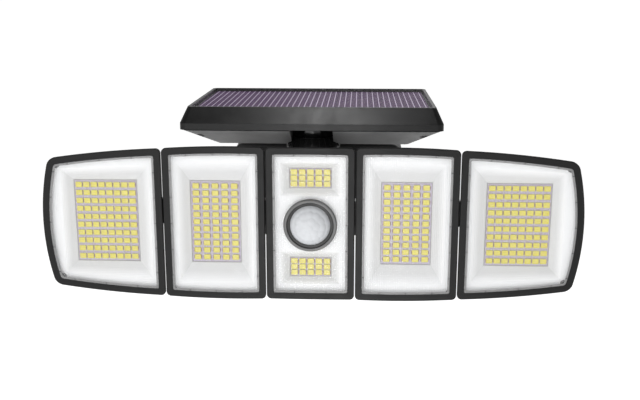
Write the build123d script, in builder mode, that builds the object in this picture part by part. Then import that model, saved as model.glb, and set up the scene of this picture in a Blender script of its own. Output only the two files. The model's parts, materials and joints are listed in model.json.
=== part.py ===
from build123d import *
from dataclasses import dataclass
from math import radians, sqrt, tan
import os

# A five-head solar flood light for a wall. A deep housing stands off the wall and carries the
# centre lamp head with its motion sensor. Two inner heads hinge on the centre one, and two outer
# heads hinge on those. A solar panel with its battery box sits above them on a ball joint.
#
# Millimetres. The origin is on the wall, at the centre of the wall plate's back face. X is to the
# right as seen from the front, Y goes into the wall, Z is up. The front faces look along -Y.

os.makedirs("parts", exist_ok=True)

# ---------------------------------------------------------------- driving dimensions
STANDOFF = 130.0  # wall to the front faces of the lamp heads
HEAD_DEPTH = 22.0  # front face to back face of every lamp head
DRAFT = 24.0  # degrees that a head's sides lean in towards the back
RIM_DEPTH = 2.0  # straight part of a head's sides, before the draft starts
BACK_CORNER = 4.0  # corner radius of a head's back face

FRAME_DEPTH = 5.0  # front frame, where it meets the back shell
FRAME_BAND = 4.4  # width of the frame's front band
FRAME_LIP = 1.5  # thickness of the band
FRAME_WALL = 2.7  # from the head's outline to the inside of the frame's side wall
FIT = 0.1  # clearance of what drops into the frame

LENS_FACE = 0.5  # depth of the lens's front surface
LENS_BEAD = 0.25  # depth of the raised bead round the lens
BEAD_WIDTH = 1.3
LENS_BACK = 3.0  # the reflector's flange starts here
TONGUE = 4.0  # depth of the shell's tongue, which the reflector's flange sits on
SHELL_INSET = 5.8  # from the outline to the shell's cavity
CAVITY_CORNER = 4.0
SHELL_FLOOR = 2.0  # thickness of the shell's back wall
REFLECTOR_SKIN = 1.0
RIB_APART, RIB_HALF = 18.0, 22.0  # two ribs in each shell that carry the LED board

LED_FACE = 5.5  # depth of the LEDs' emitting faces
BOARD_FACE = 6.3  # depth of the LED boards' front faces
BOARD = 1.6  # thickness of every circuit board
BOARD_MARGIN = 2.0  # board beyond its window, each side
LED_WIDTH, LED_HEIGHT = 4.2, 3.5

SCREW_INSET = 4.2  # corner screws of a head, from both edges
SCREW_R, SCREW_HEAD_R, SCREW_HEAD = 1.0, 1.9, 1.5
SCREW_SEAT = 5.6  # depth of the corner screws' seats
SCREW_TIP = 2.4
RECESS = 0.6  # depth of the drive recess in a screw head

HINGE_DEPTH = 7.0  # depth of the hinge axes behind the front faces
KNUCKLE_R = 3.4
KNUCKLE_ROOM = 3.75  # radius cut away for the other leaf's knuckles
HINGE_LOW, HINGE_HIGH = -1.0, 15.0  # the barrel's two ends
MIDDLE_LOW, MIDDLE_HIGH = 4.0, 10.0  # the middle knuckle's room
PIN_R, PIN_BORE_R = 1.20, 1.24
PIN_HEAD_R, PIN_HEAD = 1.9, 0.9
KNUCKLE_GAP = 0.1
LEAF_REACH, LEAF_DEPTHS = 5.5, (5.3, 9.6)  # the web that ties a knuckle to its shell

HINGE_X_INNER = 28.6  # hinge axis between the centre head and an inner head
HINGE_X_OUTER = 94.4  # hinge axis between an inner head and an outer head
HEAD_GAP = 0.27  # from a hinge axis to either head's edge

DOME_R, DOME_HEIGHT, DOME_SKIN = 12.8, 8.2, 0.8  # motion sensor's lens
DOME_BASE = -0.9  # depth where the sensor lens starts to curve
BEZEL_R = 17.1
BEZEL_FACE = -2.2
SENSOR_TUBE_R = 15.0

NECK_WIDTH, NECK_TOP, NECK_BOTTOM = 42.0, 28.0, -36.0  # housing behind the centre head
NECK_WALL = 2.6
NECK_END = 100.0  # depth where the neck meets the wall base
END_WALL = 6.0
BASE_WIDTH, BASE_HEIGHT = 124.0, 70.0  # wall base, at its front
BASE_DRAFT = 2.0
BASE_WALL = 2.5

PLATE_WIDTH, PLATE_HEIGHT, PLATE = 119.0, 60.0, 2.5  # steel plate on the wall
BOLT_X, BOLT_Z, BOLT_R = 90.0, 40.0, 2.75  # its four wall screws
TAB_WIDTH, TAB_REACH, TAB = 14.0, 16.0, 2.0  # its two bent ears
SIDE_SCREW_Y, SIDE_SCREW_R = -10.0, 1.95

BALL_DEPTH, BALL_Z, BALL_R = 42.0, 45.0, 9.0  # ball joint under the panel
SEAT_R = 11.0
SOCKET_R = 13.35
RING_R, RING_LOW = 17.9, 38.2  # ribbed ring under the socket
RING_SHOULDER, RING_TOP = 45.0, 51.2  # it narrows to a cone between these heights
RING_CONE_R = 14.3
RIBS, RIB_GROOVE, RIB_DEPTH = 24, 1.3, 0.8
STEM_R = 4.2

PANEL_HALF = 84.1  # half width of the panel's lip
PANEL_FRONT, PANEL_BACK = 10.3, 127.3  # depth of the lip's front and back edges
LIP_LOW, LIP_HIGH = 59.1, 63.2
PANEL_TOP = 73.4
BEVEL = 4.7  # lean of the frame above the lip
PANEL_CORNER = 4.0
GLASS_MARGIN = 2.2
GLASS, CELL_SHEET = 2.0, 0.6
CELL_MARGIN = 3.0
BOX_HALF, BOX_LOW = 63.7, 46.0  # battery box: half width and height of its flat bottom
BOX_FRONT, BOX_BACK = 38.0, 99.6
BOX_WALL = 2.0
CHANNEL_TOP = 58.0  # ceiling of the channel that the joint's socket stands in
CHANNEL_HALF, CHANNEL_FRONT = 13.7, 13.0
CONE_ROOM = 0.6  # room round the ring's cone

CELL_R, CELL_LENGTH = 9.2, 65.0  # 18650 battery cells
CELL_Z = 58.4


@dataclass
class Head:
    """One lamp head's front: its edges, its reflector's mouth and its window of LEDs."""

    inner_x: float
    outer_x: float
    inner_half: float  # half heights at the inner edge, the middle and the outer edge
    middle_half: float
    outer_half: float
    tip_x: float = 0.0  # where a bowed outer edge reaches, 0 for a straight one
    outer_corner: float = 3.0
    outer_screw_inset: float = SCREW_INSET
    mouth: tuple = ()  # inner x, outer x, half height inside, half height outside
    window: tuple = ()  # centre x, width, height
    leds: tuple = ()  # columns, rows, pitch across, pitch up
    inner_corner: float = 3.0


CENTRE = Head(-HINGE_X_INNER + HEAD_GAP, HINGE_X_INNER - HEAD_GAP, 49.9, 50.1, 49.9)
INNER = Head(HINGE_X_INNER + HEAD_GAP, HINGE_X_OUTER - HEAD_GAP, 50.0, 50.3, 48.9,
             mouth=(37.0, 85.4, 40.6, 39.6), window=(61.3, 32.2, 54.2), leds=(5, 11, 6.20, 4.743))
OUTER = Head(HINGE_X_OUTER + HEAD_GAP, 166.9, 48.8, 46.4, 41.9,
             tip_x=172.6, outer_corner=7.0, outer_screw_inset=5.1,
             mouth=(103.0, 160.2, 37.8, 34.6), window=(132.3, 40.8, 54.2), leds=(8, 10, 4.926, 5.313))

CENTRE_MOUTH = (19.2, 18.4, 40.2)  # half width, and the heights it starts and ends at
CENTRE_WINDOW = (26.9, 13.0, 29.5)  # width, height, and height of its centre
CENTRE_LEDS = (5, 3, 5.284, 3.854)


# ---------------------------------------------------------------- shared shapes
def face_plane(depth):
    """The upright plane this far behind the front faces, looking forwards."""
    return Plane.XZ.offset(STANDOFF - depth)


def save(part, name):
    part.label = name
    export_step(part, f"parts/{name}.step")


def outline(head, inset=0.0, corner=None):
    """A head's front outline, this far inside its edge, with rounded corners unless corner is 0."""
    inner_top, inner_bottom = (head.inner_x, head.inner_half), (head.inner_x, -head.inner_half)
    outer_top, outer_bottom = (head.outer_x, head.outer_half), (head.outer_x, -head.outer_half)
    middle = (head.inner_x + head.outer_x) / 2
    with BuildSketch() as shape:
        with BuildLine():
            ThreePointArc(inner_top, (middle, head.middle_half), outer_top)
            if head.tip_x:
                ThreePointArc(outer_top, (head.tip_x, 0), outer_bottom)
            else:
                Line(outer_top, outer_bottom)
            ThreePointArc(outer_bottom, (middle, -head.middle_half), inner_bottom)
            Line(inner_bottom, inner_top)
        make_face()
        if inset:
            offset(amount=-inset, kind=Kind.INTERSECTION)
        if corner != 0:
            inner_r = corner or max(head.inner_corner - inset, 1.0)
            outer_r = corner or max(head.outer_corner - inset, 1.0)
            fillet(shape.vertices().sort_by(Axis.X)[:2], inner_r)
            fillet(shape.vertices().sort_by(Axis.X)[-2:], outer_r)
    return shape.sketch


def screw_points(head):
    """Where a head's four corner screws stand, as x and z."""
    inner = outline(head, SCREW_INSET, corner=0).vertices().sort_by(Axis.X)[:2]
    outer = outline(head, head.outer_screw_inset, corner=0).vertices().sort_by(Axis.X)[-2:]
    return [(corner.X, corner.Y) for corner in [*inner, *outer]]


def outer_form(head):
    """A head's whole outside, frame and shell together, as one solid."""
    lean = (HEAD_DEPTH - RIM_DEPTH) * tan(radians(DRAFT))
    with BuildPart() as form:
        with BuildSketch(face_plane(0)):
            add(outline(head))
        extrude(amount=-RIM_DEPTH)
        with BuildSketch(face_plane(RIM_DEPTH)):
            add(outline(head))
        with BuildSketch(face_plane(HEAD_DEPTH)):
            add(outline(head, lean, corner=BACK_CORNER))
        loft(ruled=True)
    return form.part


def cavity_form(head):
    """The hollow of a head's shell."""
    straight = 4.0
    floor = HEAD_DEPTH - SHELL_FLOOR
    lean = (floor - TONGUE - straight) * tan(radians(DRAFT))
    with BuildPart() as form:
        with BuildSketch(face_plane(TONGUE)):
            add(outline(head, SHELL_INSET, corner=CAVITY_CORNER))
        extrude(amount=-straight)
        with BuildSketch(face_plane(TONGUE + straight)):
            add(outline(head, SHELL_INSET, corner=CAVITY_CORNER))
        with BuildSketch(face_plane(floor)):
            add(outline(head, SHELL_INSET + lean, corner=CAVITY_CORNER))
        loft(ruled=True)
    return form.part


def posts(points, radius, low, high):
    """Upright cylinders between two heights, at points given as x and y."""
    with BuildPart() as group:
        with BuildSketch(Plane.XY.offset(low)):
            with Locations(*points):
                Circle(radius)
        extrude(amount=high - low)
    return group.part


def upright(x, depth, radius, low, high):
    """One upright cylinder, this far behind the front faces."""
    return posts([(x, depth - STANDOFF)], radius, low, high)


def plus_signs(points, length, width, low, high):
    """Cross-shaped drive recesses between two heights, at points given as x and y."""
    with BuildPart() as group:
        with BuildSketch(Plane.XY.offset(low)):
            with Locations(*points):
                Rectangle(length, width)
                Rectangle(width, length)
        extrude(amount=high - low)
    return group.part


def plate(face, start, end):
    """A flat face given thickness, from one depth back to another."""
    with BuildPart() as solid:
        with BuildSketch(face_plane(start)):
            add(face)
        extrude(amount=start - end)
    return solid.part


def rods(points, radius, start, end):
    """Cylinders that run from front to back between two depths, at points given as x and z."""
    with BuildPart() as group:
        with BuildSketch(face_plane(start)):
            with Locations(*points):
                Circle(radius)
        extrude(amount=start - end)
    return group.part


def crosses(points, length, width, start, end):
    """Cross-shaped drive recesses between two depths."""
    with BuildPart() as group:
        with BuildSketch(face_plane(start)):
            with Locations(*points):
                Rectangle(length, width)
                Rectangle(width, length)
        extrude(amount=start - end)
    return group.part


def slab(x_low, x_high, depth_low, depth_high, z_low, z_high):
    """A plain block between two corners."""
    with BuildPart() as block:
        with BuildSketch(Plane.XY.offset(z_low)):
            with Locations(((x_low + x_high) / 2, (depth_low + depth_high) / 2 - STANDOFF)):
                Rectangle(x_high - x_low, depth_high - depth_low)
        extrude(amount=z_high - z_low)
    return block.part


KNUCKLES = {  # room cut for the other leaf, and this leaf's own knuckles, as heights
    "ends": ([(MIDDLE_LOW, MIDDLE_HIGH)], [(HINGE_LOW, MIDDLE_LOW), (MIDDLE_HIGH, HINGE_HIGH)]),
    "middle": ([(HINGE_LOW, MIDDLE_LOW), (MIDDLE_HIGH, HINGE_HIGH + PIN_HEAD)],
               [(MIDDLE_LOW, MIDDLE_HIGH)]),
}


def hinge_room(x):
    """What both heads' frames leave free round a hinge."""
    return upright(x, HINGE_DEPTH, KNUCKLE_ROOM, HINGE_LOW - 0.3, HINGE_HIGH + PIN_HEAD + 0.3)


def add_hinge(x, kind, side):
    """Cuts and adds one hinge leaf on the open shell; side is +1 where the shell lies at more x."""
    rooms, knuckles = KNUCKLES[kind]
    near, far = sorted((x, x + side * LEAF_REACH))
    seat = HINGE_HIGH - KNUCKLE_GAP
    for low, high in rooms:
        room = upright(x, HINGE_DEPTH, KNUCKLE_ROOM, low - KNUCKLE_GAP, high + KNUCKLE_GAP)
        add(room, mode=Mode.SUBTRACT)
    for low, high in knuckles:
        add(upright(x, HINGE_DEPTH, KNUCKLE_R, low + KNUCKLE_GAP, high - KNUCKLE_GAP))
        add(slab(near, far, *LEAF_DEPTHS, low + KNUCKLE_GAP, high - KNUCKLE_GAP))
    add(upright(x, HINGE_DEPTH, PIN_BORE_R, HINGE_LOW - 0.2, HINGE_HIGH), mode=Mode.SUBTRACT)
    add(upright(x, HINGE_DEPTH, PIN_HEAD_R + 0.3, seat, seat + PIN_HEAD + 0.3), mode=Mode.SUBTRACT)


def hinge_pin(x):
    low, seat = HINGE_LOW - 0.1, HINGE_HIGH - KNUCKLE_GAP
    with BuildPart() as pin:
        add(upright(x, HINGE_DEPTH, PIN_R, low, seat))
        add(upright(x, HINGE_DEPTH, PIN_HEAD_R, seat, seat + PIN_HEAD))
        fillet(pin.faces().sort_by(Axis.Z)[-1].edges(), 0.4)
    return pin.part


# ---------------------------------------------------------------- pieces that every head has
def make_frame(head, hinges):
    """The dark frame round a head's front, with a screw boss in each corner."""
    with BuildPart() as frame:
        add(outer_form(head))
        split(bisect_by=face_plane(FRAME_DEPTH), keep=Keep.TOP)
        add(plate(outline(head, FRAME_BAND), 0, FRAME_DEPTH), mode=Mode.SUBTRACT)
        add(plate(outline(head, FRAME_WALL), FRAME_LIP, FRAME_DEPTH), mode=Mode.SUBTRACT)
        add(rods(screw_points(head), 2 * SCREW_R, FRAME_LIP, TONGUE))
        add(rods(screw_points(head), SCREW_R, SCREW_TIP - 0.2, FRAME_DEPTH), mode=Mode.SUBTRACT)
        for x in hinges:
            add(hinge_room(x), mode=Mode.SUBTRACT)
        front = frame.faces().filter_by(Axis.Y).sort_by(Axis.Y)[0]
        chamfer(front.outer_wire().edges(), 0.5)
    return frame.part


def notch_corners(head, start, end):
    """Clears the frame's corner bosses from the open part."""
    add(rods(screw_points(head), 2 * SCREW_R + 0.25, start, end), mode=Mode.SUBTRACT)


def make_lens(head, hole=0.0):
    """The clear cover: a flange under the frame's band, a raised window and a bead round it."""
    with BuildPart() as lens:
        add(plate(outline(head, FRAME_WALL + FIT), FRAME_LIP, LENS_BACK))
        add(plate(outline(head, FRAME_BAND + FIT), LENS_BEAD, FRAME_LIP))
        add(plate(outline(head, FRAME_BAND + FIT + BEAD_WIDTH), LENS_BEAD, LENS_FACE), mode=Mode.SUBTRACT)
        notch_corners(head, FRAME_LIP, LENS_BACK)
        if hole:
            add(rods([(0, 0)], hole, 0, LENS_BACK), mode=Mode.SUBTRACT)
    return lens.part


def quad(points, grow=0.0):
    """A four-sided face, grown outwards."""
    with BuildSketch() as shape:
        with BuildLine():
            Polyline(*points, close=True)
        make_face()
        if grow:
            offset(amount=grow, kind=Kind.INTERSECTION)
    return shape.sketch


def pocket(mouth, window, grow=0.0):
    """The sloped pocket from a reflector's mouth down to its window, as a solid."""
    with BuildPart() as form:
        with BuildSketch(face_plane(LENS_BACK)):
            add(quad(mouth, grow))
        with BuildSketch(face_plane(BOARD_FACE)):
            add(quad(window, grow))
        loft(ruled=True)
    return form.part


def make_reflector(head, pockets, hole=0.0):
    """The white tray: a flange on the shell's tongue, with a thin sloped pocket to each window."""
    with BuildPart() as tray:
        add(plate(outline(head, FRAME_WALL + FIT), LENS_BACK, TONGUE))
        for mouth, window in pockets:
            add(pocket(mouth, window, grow=REFLECTOR_SKIN))
        for mouth, window in pockets:
            add(pocket(mouth, window), mode=Mode.SUBTRACT)
        notch_corners(head, LENS_BACK, TONGUE)
        if hole:
            add(rods([(0, 0)], hole, LENS_BACK, TONGUE), mode=Mode.SUBTRACT)
    return tray.part


def make_boards(windows):
    """Aluminium LED boards behind the windows, each as centre x, centre z, width and height."""
    with BuildPart() as boards:
        with BuildSketch(face_plane(BOARD_FACE)):
            for x, z, width, height in windows:
                with Locations((x, z)):
                    Rectangle(width + 2 * BOARD_MARGIN, height + 2 * BOARD_MARGIN)
        extrude(amount=-BOARD)
    return boards.part


def make_leds(grids):
    """Surface-mount LEDs, as grids of centre x, centre z, columns, rows and pitches."""
    with BuildPart() as leds:
        with BuildSketch(face_plane(LED_FACE)):
            for x, z, columns, rows, across, up in grids:
                with Locations((x, z)):
                    with GridLocations(across, up, columns, rows):
                        Rectangle(LED_WIDTH, LED_HEIGHT)
        extrude(amount=LED_FACE - BOARD_FACE)
    return leds.part


def add_shell(head):
    """Adds a head's back shell to the open part."""
    add(outer_form(head))
    split(bisect_by=face_plane(FRAME_DEPTH), keep=Keep.BOTTOM)
    add(plate(outline(head, FRAME_WALL + FIT), TONGUE, FRAME_DEPTH))
    add(cavity_form(head), mode=Mode.SUBTRACT)
    add(rods(screw_points(head), SCREW_R + 0.1, TONGUE, HEAD_DEPTH), mode=Mode.SUBTRACT)
    add(rods(screw_points(head), SCREW_HEAD_R + 0.3, SCREW_SEAT, HEAD_DEPTH), mode=Mode.SUBTRACT)


def make_screws(head):
    """A head's four corner screws, driven in from the back."""
    top = SCREW_SEAT + SCREW_HEAD
    with BuildPart() as screws:
        add(rods(screw_points(head), SCREW_R - 0.02, SCREW_TIP, SCREW_SEAT))
        add(rods(screw_points(head), SCREW_HEAD_R, SCREW_SEAT, top))
        add(crosses(screw_points(head), 2.2, 0.6, top - RECESS, top), mode=Mode.SUBTRACT)
    return screws.part


# ---------------------------------------------------------------- the four hinged heads
def lamp_head(name, head, hinge_in, hinge_out=None):
    """Writes one hinged head's seven pieces, for the right side and mirrored for the left."""
    inner_x, outer_x, inner_half, outer_half = head.mouth
    x, width, height = head.window
    mouth = [(inner_x, inner_half), (outer_x, outer_half), (outer_x, -outer_half), (inner_x, -inner_half)]
    left, right, top = x - width / 2, x + width / 2, height / 2
    window = [(left, top), (right, top), (right, -top), (left, -top)]
    hinges = [h for h in (hinge_in, hinge_out) if h]
    floor = HEAD_DEPTH - SHELL_FLOOR
    with BuildPart() as shell:
        add_shell(head)
        for rib in (x - RIB_APART / 2, x + RIB_APART / 2):
            add(slab(rib - 1, rib + 1, BOARD_FACE + BOARD, floor, -RIB_HALF, RIB_HALF))
        add_hinge(hinge_in, "middle", +1)
        if hinge_out:
            add_hinge(hinge_out, "ends", -1)
    pieces = {
        "shell": shell.part,
        "frame": make_frame(head, hinges),
        "lens": make_lens(head),
        "reflector": make_reflector(head, [(mouth, window)]),
        "led_board": make_boards([(x, 0, width, height)]),
        "leds": make_leds([(x, 0, *head.leds)]),
        "screws": make_screws(head),
    }
    if hinge_out:
        pieces["hinge_pin"] = hinge_pin(hinge_out)
    for piece, part in pieces.items():
        save(part, f"right_{name}_{piece}")
        save(mirror(part, about=Plane.YZ), f"left_{name}_{piece}")


lamp_head("inner", INNER, HINGE_X_INNER, HINGE_X_OUTER)
lamp_head("outer", OUTER, HINGE_X_OUTER)

# ---------------------------------------------------------------- centre head
half_mouth, mouth_low, mouth_high = CENTRE_MOUTH
window_width, window_height, window_z = CENTRE_WINDOW
centre_pockets = []
for up in (1, -1):
    z_near, z_far = window_z - window_height / 2, window_z + window_height / 2
    centre_pockets.append((
        [(-half_mouth, up * mouth_high), (half_mouth, up * mouth_high),
         (half_mouth, up * mouth_low), (-half_mouth, up * mouth_low)],
        [(-window_width / 2, up * z_far), (window_width / 2, up * z_far),
         (window_width / 2, up * z_near), (-window_width / 2, up * z_near)],
    ))

save(make_frame(CENTRE, [-HINGE_X_INNER, HINGE_X_INNER]), "centre_frame")
save(make_lens(CENTRE, hole=SENSOR_TUBE_R + FIT), "centre_lens")
save(make_reflector(CENTRE, centre_pockets, hole=SENSOR_TUBE_R + FIT), "centre_reflector")
save(make_boards([(0, up * window_z, window_width, window_height) for up in (1, -1)]), "centre_led_boards")
save(make_leds([(0, up * window_z, *CENTRE_LEDS) for up in (1, -1)]), "centre_leds")
save(make_screws(CENTRE), "centre_screws")

with BuildPart() as inner_hinge_pins:
    for side in (-1, 1):
        add(hinge_pin(side * HINGE_X_INNER))
save(inner_hinge_pins.part, "inner_hinge_pins")

# ---------------------------------------------------------------- motion sensor
# Turned profiles are drawn as radius and depth behind the front faces, about the sensor's axis.
SENSOR_PLANE = Plane(origin=(0, -STANDOFF, 0), x_dir=(1, 0, 0), z_dir=(0, 0, 1))
SENSOR_AXIS = Axis((0, -STANDOFF, 0), (0, 1, 0))
TUBE_END = 8.4
TUBE_SKIN = 1.0
DOME_FLANGE_R = SENSOR_TUBE_R - TUBE_SKIN - 0.05
CAP_R = (DOME_R**2 + DOME_HEIGHT**2) / (2 * DOME_HEIGHT)  # sphere that the dome is cut from
CAP_CENTRE = DOME_BASE - DOME_HEIGHT + CAP_R
INNER_CAP_R = CAP_R - DOME_SKIN
INNER_RISE = sqrt(INNER_CAP_R**2 - (DOME_R - DOME_SKIN) ** 2)
CAP_MIDDLE, INNER_MIDDLE = CAP_R * sqrt(0.5), INNER_CAP_R * sqrt(0.5)

with BuildPart() as pir_bezel:
    with BuildSketch(SENSOR_PLANE):
        with BuildLine():
            Polyline(
                (DOME_R + 0.15, 0.8), (DOME_R + 0.15, -1.0), (DOME_R + 1.9, -1.0),
                (DOME_R + 2.3, BEZEL_FACE),
                (BEZEL_R - 0.6, BEZEL_FACE), (BEZEL_R, BEZEL_FACE + 1.1), (BEZEL_R, LENS_FACE),
                (SENSOR_TUBE_R, LENS_FACE), (SENSOR_TUBE_R, TUBE_END),
                (SENSOR_TUBE_R - TUBE_SKIN, TUBE_END), (SENSOR_TUBE_R - TUBE_SKIN, 0.8), close=True)
        make_face()
    revolve(axis=SENSOR_AXIS)
save(pir_bezel.part, "pir_bezel")

with BuildPart() as pir_dome:
    with BuildSketch(SENSOR_PLANE):
        with BuildLine():
            rim_start = (DOME_R - DOME_SKIN, CAP_CENTRE - INNER_RISE)
            Polyline((DOME_R, DOME_BASE), (DOME_R, 0.9), (DOME_FLANGE_R, 0.9), (DOME_FLANGE_R, 1.8),
                     (DOME_R - DOME_SKIN, 1.8), rim_start)
            inner_top = (0, CAP_CENTRE - INNER_CAP_R)
            ThreePointArc(rim_start, (INNER_MIDDLE, CAP_CENTRE - INNER_MIDDLE), inner_top)
            top = (0, CAP_CENTRE - CAP_R)
            Line(inner_top, top)
            ThreePointArc(top, (CAP_MIDDLE, CAP_CENTRE - CAP_MIDDLE), (DOME_R, DOME_BASE))
        make_face()
    revolve(axis=SENSOR_AXIS)
save(pir_dome.part, "pir_dome")

with BuildPart() as pir_sensor:  # round can with its square window, on its carrier disc
    with BuildSketch(face_plane(6.5)):
        Circle(SENSOR_TUBE_R - TUBE_SKIN - 0.1)
    extrude(amount=-1.2)
    with BuildSketch(face_plane(2.6)):
        Circle(4.6)
    extrude(amount=-3.9)
    with BuildSketch(face_plane(2.6)):
        Rectangle(4, 3)
    extrude(amount=-0.3, mode=Mode.SUBTRACT)
save(pir_sensor.part, "pir_sensor")

# ---------------------------------------------------------------- main housing
NECK_MIDDLE = (NECK_TOP + NECK_BOTTOM) / 2
NECK_HEIGHT = NECK_TOP - NECK_BOTTOM
CONTROL_DEPTH = 40.0
BUTTON_DEPTH, BUTTON_R, BUTTON_TRAVEL = 36.5, 4.4, 1.0
BASE_SCREWS = [(x, z + NECK_MIDDLE) for x in (-13, 13) for z in (-22, 22)]
STEM_FOOT_R, STEM_FOOT = 14.0, 3.0

with BuildPart() as main_housing:
    add_shell(CENTRE)
    for side in (-1, 1):
        add_hinge(side * HINGE_X_INNER, "ends", -side)
    with BuildSketch(face_plane(HEAD_DEPTH - SHELL_FLOOR)):
        with Locations((0, NECK_MIDDLE)):
            RectangleRounded(NECK_WIDTH, NECK_HEIGHT, 6)
    extrude(amount=HEAD_DEPTH - SHELL_FLOOR - NECK_END)
    with BuildSketch(face_plane(HEAD_DEPTH - SHELL_FLOOR - 1)):
        with Locations((0, NECK_MIDDLE)):
            RectangleRounded(NECK_WIDTH - 2 * NECK_WALL, NECK_HEIGHT - 2 * NECK_WALL, 3.4)
    extrude(amount=HEAD_DEPTH - SHELL_FLOOR - 1 - NECK_END + END_WALL, mode=Mode.SUBTRACT)
    # board rests above and below the sensor, and rails for the control board
    for up in (1, -1):
        for side in (-1, 1):
            post_z = up * (window_z + 4)
            add(slab(side * 9 - 1.5, side * 9 + 1.5, BOARD_FACE + BOARD, HEAD_DEPTH - 0.5,
                     post_z - 3, post_z + 3))
    for side in (-1, 1):
        for near in (CONTROL_DEPTH - 1.5, CONTROL_DEPTH + BOARD + 0.1):
            rail = sorted(side * (NECK_WIDTH / 2 - NECK_WALL + reach) for reach in (0.2, -1.6))
            add(slab(*rail, near, near + 1.4, NECK_BOTTOM + 6, NECK_TOP - 6))
    # cable way and pilot holes through the end wall, button hole and stem foot
    with BuildSketch(face_plane(NECK_END - END_WALL)):
        with Locations((0, NECK_MIDDLE)):
            Circle(7)
    extrude(amount=-END_WALL, mode=Mode.SUBTRACT)
    with BuildSketch(face_plane(NECK_END - END_WALL + 0.8)):
        with Locations(*BASE_SCREWS):
            Circle(1.5)
    extrude(amount=-END_WALL, mode=Mode.SUBTRACT)
    button_hole = upright(0, BUTTON_DEPTH, BUTTON_R + 0.08, NECK_BOTTOM - 1, NECK_BOTTOM + NECK_WALL + 1)
    add(button_hole, mode=Mode.SUBTRACT)
    add(upright(0, BALL_DEPTH, STEM_FOOT_R + 2, NECK_TOP - 1, NECK_TOP + 1.5))
    add(upright(0, BALL_DEPTH, 3.0, NECK_TOP - 4, NECK_TOP + 1.5), mode=Mode.SUBTRACT)
save(main_housing.part, "main_housing")

with BuildPart() as control_board:  # with its push switch, chip and capacitor
    half = NECK_WIDTH / 2 - NECK_WALL - 0.1
    add(slab(-half, half, CONTROL_DEPTH, CONTROL_DEPTH + BOARD, NECK_BOTTOM + 6.5, NECK_TOP - 6.5))
    add(slab(-3, 3, CONTROL_DEPTH - 6, CONTROL_DEPTH, NECK_BOTTOM + 6.6, NECK_BOTTOM + 10))
    add(upright(0, BUTTON_DEPTH, 1.7, NECK_BOTTOM + 5.6, NECK_BOTTOM + 7))
    add(slab(-6, 4, CONTROL_DEPTH - 1.2, CONTROL_DEPTH, -6, 4))
    add(upright(11, CONTROL_DEPTH - 3.6, 3.5, -18, -8))
    add(slab(8.5, 13.5, CONTROL_DEPTH - 1, CONTROL_DEPTH, -17, -9))
save(control_board.part, "control_board")

with BuildPart() as mode_button:
    inside = NECK_BOTTOM + NECK_WALL
    add(upright(0, BUTTON_DEPTH, BUTTON_R, NECK_BOTTOM - 1.6, inside))
    add(upright(0, BUTTON_DEPTH, BUTTON_R + 1.4, inside, inside + 1.0))
    add(upright(0, BUTTON_DEPTH, 1.6, inside + 1.0, NECK_BOTTOM + 5.6 - BUTTON_TRAVEL - 0.05))
    fillet(mode_button.faces().sort_by(Axis.Z)[0].edges(), 0.6)
save(mode_button.part, "mode_button")

# ---------------------------------------------------------------- wall base and plate
lean = (STANDOFF - NECK_END) * tan(radians(BASE_DRAFT))
SIDE_X = BASE_WIDTH / 2 + lean * 0.6  # outside of the base at the side screws
SCREW_SINK = 1.2
BASE_FRONT_WALL = 3.0
BASE_SCREW_TOP = NECK_END + BASE_FRONT_WALL + 2.0

with BuildPart() as wall_base:
    with BuildSketch(face_plane(NECK_END)):
        RectangleRounded(BASE_WIDTH, BASE_HEIGHT, 8)
    with BuildSketch(face_plane(STANDOFF)):
        RectangleRounded(BASE_WIDTH + 2 * lean, BASE_HEIGHT + 2 * lean, 8 + lean)
    loft(ruled=True)
    fillet(wall_base.faces().sort_by(Axis.Y)[0].edges(), 2.0)
    with BuildSketch(face_plane(STANDOFF)):
        RectangleRounded(BASE_WIDTH - 2 * BASE_WALL, BASE_HEIGHT - 2 * BASE_WALL, 5.5)
    extrude(amount=STANDOFF - NECK_END - BASE_FRONT_WALL, mode=Mode.SUBTRACT)
    with BuildSketch(face_plane(NECK_END)):
        with Locations((0, NECK_MIDDLE)):
            Circle(7)
        with Locations(*BASE_SCREWS):
            Circle(1.8)
    extrude(amount=-5, mode=Mode.SUBTRACT)
    with BuildSketch(Plane.YZ):
        with Locations((SIDE_SCREW_Y, 0)):
            Circle(SIDE_SCREW_R + 0.15)
    extrude(amount=BASE_WIDTH, both=True, mode=Mode.SUBTRACT)
    for side in (-1, 1):
        with BuildSketch(Plane.YZ.offset(side * (SIDE_X - SCREW_SINK))):
            with Locations((SIDE_SCREW_Y, 0)):
                Circle(3.8)
        extrude(amount=side * 5, mode=Mode.SUBTRACT)
save(wall_base.part, "wall_base")

with BuildPart() as base_screws:
    add(rods(BASE_SCREWS, 1.48, NECK_END - END_WALL + 1, NECK_END + BASE_FRONT_WALL))
    add(rods(BASE_SCREWS, 3.0, NECK_END + BASE_FRONT_WALL, BASE_SCREW_TOP))
    add(crosses(BASE_SCREWS, 3.4, 0.8, BASE_SCREW_TOP - RECESS, BASE_SCREW_TOP), mode=Mode.SUBTRACT)
save(base_screws.part, "base_screws")

with BuildPart() as wall_plate:  # pressed steel, with an ear bent forward at each end
    with BuildSketch(Plane.XZ):
        RectangleRounded(PLATE_WIDTH, PLATE_HEIGHT, 5)
        with GridLocations(BOLT_X, BOLT_Z, 2, 2):
            Circle(BOLT_R, mode=Mode.SUBTRACT)
        with Locations((0, NECK_MIDDLE)):
            Circle(9, mode=Mode.SUBTRACT)
    extrude(amount=PLATE)
    for side in (-1, 1):
        ear = sorted((side * PLATE_WIDTH / 2, side * (PLATE_WIDTH / 2 - TAB)))
        add(slab(*ear, STANDOFF - TAB_REACH, STANDOFF - PLATE / 2, -TAB_WIDTH / 2, TAB_WIDTH / 2))
    with BuildSketch(Plane.YZ):
        with Locations((SIDE_SCREW_Y, 0)):
            Circle(SIDE_SCREW_R + 0.02)
    extrude(amount=PLATE_WIDTH, both=True, mode=Mode.SUBTRACT)
save(wall_plate.part, "wall_plate")

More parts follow.
